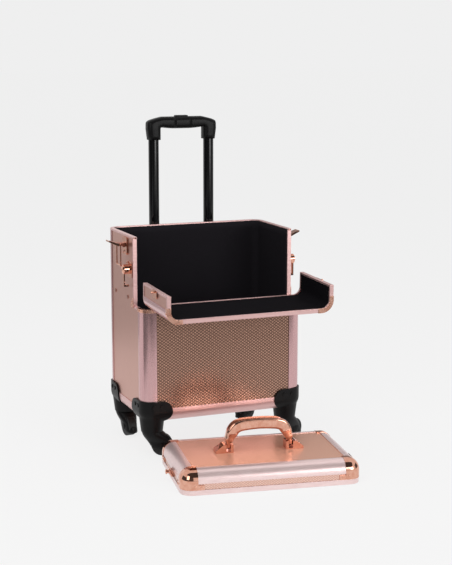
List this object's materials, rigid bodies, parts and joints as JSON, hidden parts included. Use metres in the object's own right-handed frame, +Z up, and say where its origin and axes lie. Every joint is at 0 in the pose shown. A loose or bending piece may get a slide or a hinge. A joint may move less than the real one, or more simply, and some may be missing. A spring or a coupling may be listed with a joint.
{
  "type": "makeup train case",
  "caption": "Rolling makeup train case with a drop front, lift-off lid with carrying handle, telescopic trolley handle and swivelling castors.",
  "frame": {"origin": "on the floor under the middle of the box", "axes": "+X to the right seen from the front, +Y to the back, +Z up"},
  "size_m": [0.419, 0.5548, 0.6687],
  "materials": {
    "rose_panel": "satin rose-gold foil on board",
    "textured_panel": "embossed rose-gold foil on board",
    "rose_profile": "satin anodised rose",
    "mirror_rose": "polished rose-gold plating",
    "black_lining": "fine black fabric over foam",
    "black_plastic": "moulded satin",
    "black_tube": "gloss black anodised",
    "wheel_rubber": "matt moulded",
    "steel": "plated"
  },
  "bodies": {
    "case": {"left_side_panel": "rose_panel", "right_side_panel": "rose_panel", "back_panel": "rose_panel", "front_panel": "textured_panel", "base_panel": "rose_panel", "case_lining": "black_lining", "front_corner_profiles": "rose_profile", "rear_corner_profiles": "rose_profile", "base_edge_profiles": "rose_profile", "top_rim": "rose_profile", "opening_rim": "rose_profile", "side_edge_trims": "rose_profile", "opening_brackets": "mirror_rose", "corner_housings": "black_plastic", "case_fasteners": "steel", "case_hinge_leaf": "steel", "hinge_pin": "steel", "lid_latch_bases": "mirror_rose", "flap_latch_bases": "mirror_rose", "outer_tubes": "black_tube", "trolley_top_bracket": "black_plastic", "trolley_foot": "black_plastic"},
    "trolley_middle": {"middle_tubes": "black_tube"},
    "trolley_top": {"inner_tubes": "black_tube", "trolley_grip": "black_plastic"},
    "release_button": {"release_button": "black_plastic", "lock_linkage": "black_plastic"},
    "castor_fork_front_left": {"castor_fork_front_left": "black_plastic"},
    "castor_wheel_front_left": {"castor_wheel_front_left": "wheel_rubber"},
    "castor_fork_front_right": {"castor_fork_front_right": "black_plastic"},
    "castor_wheel_front_right": {"castor_wheel_front_right": "wheel_rubber"},
    "castor_fork_rear_left": {"castor_fork_rear_left": "black_plastic"},
    "castor_wheel_rear_left": {"castor_wheel_rear_left": "wheel_rubber"},
    "castor_fork_rear_right": {"castor_fork_rear_right": "black_plastic"},
    "castor_wheel_rear_right": {"castor_wheel_rear_right": "wheel_rubber"},
    "drop_front": {"flap_panel": "textured_panel", "flap_wings": "rose_panel", "flap_corner_profiles": "rose_profile", "flap_rim": "rose_profile", "flap_lining": "black_lining", "flap_hinge_leaf": "steel", "flap_catches": "mirror_rose", "flap_corner_caps": "mirror_rose"},
    "lid": {"lid_panel": "rose_panel", "lid_side_bands": "textured_panel", "lid_edge_profiles": "rose_profile", "lid_corners": "mirror_rose", "lid_rim": "rose_profile", "lid_lining": "black_lining", "lid_corner_clips": "mirror_rose", "lid_catches": "mirror_rose", "lid_handle_brackets": "mirror_rose"},
    "lid_handle": {"lid_handle": "mirror_rose"},
    "left_lid_latch_lever": {"left_lid_latch_lever": "mirror_rose"},
    "left_lid_latch_bail": {"left_lid_latch_bail": "mirror_rose"},
    "left_flap_latch_knob": {"left_flap_latch_knob": "mirror_rose"},
    "right_lid_latch_lever": {"right_lid_latch_lever": "mirror_rose"},
    "right_lid_latch_bail": {"right_lid_latch_bail": "mirror_rose"},
    "right_flap_latch_knob": {"right_flap_latch_knob": "mirror_rose"}
  },
  "joints": [
    {"name": "trolley_lower_slide", "type": "slide", "parent": "case", "child": "trolley_middle", "axis": [0, 0, 1], "range_m": [0, 0.28]},
    {"name": "trolley_upper_slide", "type": "slide", "parent": "trolley_middle", "child": "trolley_top", "axis": [0, 0, 1], "range_m": [-0.177, 0.095]},
    {"name": "release_button_press", "type": "slide", "parent": "trolley_top", "child": "release_button", "axis": [0, 0, -1], "range_m": [0, 0.004], "stiffness_N_per_m": 600, "springref_m": -0.002},
    {"name": "castor_swivel_front_left", "type": "hinge", "parent": "case", "child": "castor_fork_front_left", "pos_m": [-0.1465, -0.0865, 0.045], "axis": [0, 0, 1], "continuous": true},
    {"name": "castor_spin_front_left", "type": "hinge", "parent": "castor_fork_front_left", "child": "castor_wheel_front_left", "pos_m": [-0.1268, -0.08997, 0.022], "axis": [0.1736, 0.9848, 0], "continuous": true},
    {"name": "castor_swivel_front_right", "type": "hinge", "parent": "case", "child": "castor_fork_front_right", "pos_m": [0.1465, -0.0865, 0.045], "axis": [0, 0, 1], "continuous": true},
    {"name": "castor_spin_front_right", "type": "hinge", "parent": "castor_fork_front_right", "child": "castor_wheel_front_right", "pos_m": [0.16529, -0.07966, 0.022], "axis": [-0.342, 0.9397, 0], "continuous": true},
    {"name": "castor_swivel_rear_left", "type": "hinge", "parent": "case", "child": "castor_fork_rear_left", "pos_m": [-0.1465, 0.0865, 0.045], "axis": [0, 0, 1], "continuous": true},
    {"name": "castor_spin_rear_left", "type": "hinge", "parent": "castor_fork_rear_left", "child": "castor_wheel_rear_left", "pos_m": [-0.14476, 0.06658, 0.022], "axis": [0.9962, 0.0872, 0], "continuous": true},
    {"name": "castor_swivel_rear_right", "type": "hinge", "parent": "case", "child": "castor_fork_rear_right", "pos_m": [0.1465, 0.0865, 0.045], "axis": [0, 0, 1], "continuous": true},
    {"name": "castor_spin_rear_right", "type": "hinge", "parent": "castor_fork_rear_right", "child": "castor_wheel_rear_right", "pos_m": [0.12771, 0.07966, 0.022], "axis": [0.342, -0.9397, 0], "continuous": true},
    {"name": "drop_front_hinge", "type": "hinge", "parent": "case", "child": "drop_front", "pos_m": [0, -0.11525, 0.30275], "axis": [1, 0, 0], "range_deg": [-92, 0]},
    {"name": "lid_lift", "type": "slide", "parent": "case", "child": "lid", "axis": [0, -0.8, 0.6], "range_m": [0, 0.5]},
    {"name": "lid_handle_swing", "type": "hinge", "parent": "lid", "child": "lid_handle", "pos_m": [0.008, -0.269, 0.057], "axis": [0.9863, -0.165, 0], "range_deg": [-80, 80]},
    {"name": "left_lid_latch_close", "type": "hinge", "parent": "case", "child": "left_lid_latch_lever", "pos_m": [-0.1785, -0.008, 0.42], "axis": [0, -1, 0], "range_deg": [0, 90]},
    {"name": "left_lid_latch_bail_swing", "type": "hinge", "parent": "left_lid_latch_lever", "child": "left_lid_latch_bail", "pos_m": [-0.1865, -0.008, 0.4215], "axis": [0, -1, 0], "range_deg": [-270, 0]},
    {"name": "left_flap_latch_turn", "type": "hinge", "parent": "case", "child": "left_flap_latch_knob", "pos_m": [-0.1805, -0.036, 0.374], "axis": [-1, 0, 0], "range_deg": [0, 90]},
    {"name": "right_lid_latch_close", "type": "hinge", "parent": "case", "child": "right_lid_latch_lever", "pos_m": [0.1785, -0.008, 0.42], "axis": [0, 1, 0], "range_deg": [0, 90]},
    {"name": "right_lid_latch_bail_swing", "type": "hinge", "parent": "right_lid_latch_lever", "child": "right_lid_latch_bail", "pos_m": [0.1865, -0.008, 0.4215], "axis": [0, 1, 0], "range_deg": [-270, 0]},
    {"name": "right_flap_latch_turn", "type": "hinge", "parent": "case", "child": "right_flap_latch_knob", "pos_m": [0.1805, -0.036, 0.374], "axis": [-1, 0, 0], "range_deg": [0, 90]}
  ],
  "couplings": [
    {"joint": "left_lid_latch_bail_swing", "follows": "left_lid_latch_close", "ratio": -3},
    {"joint": "right_lid_latch_bail_swing", "follows": "right_lid_latch_close", "ratio": -3}
  ]
}
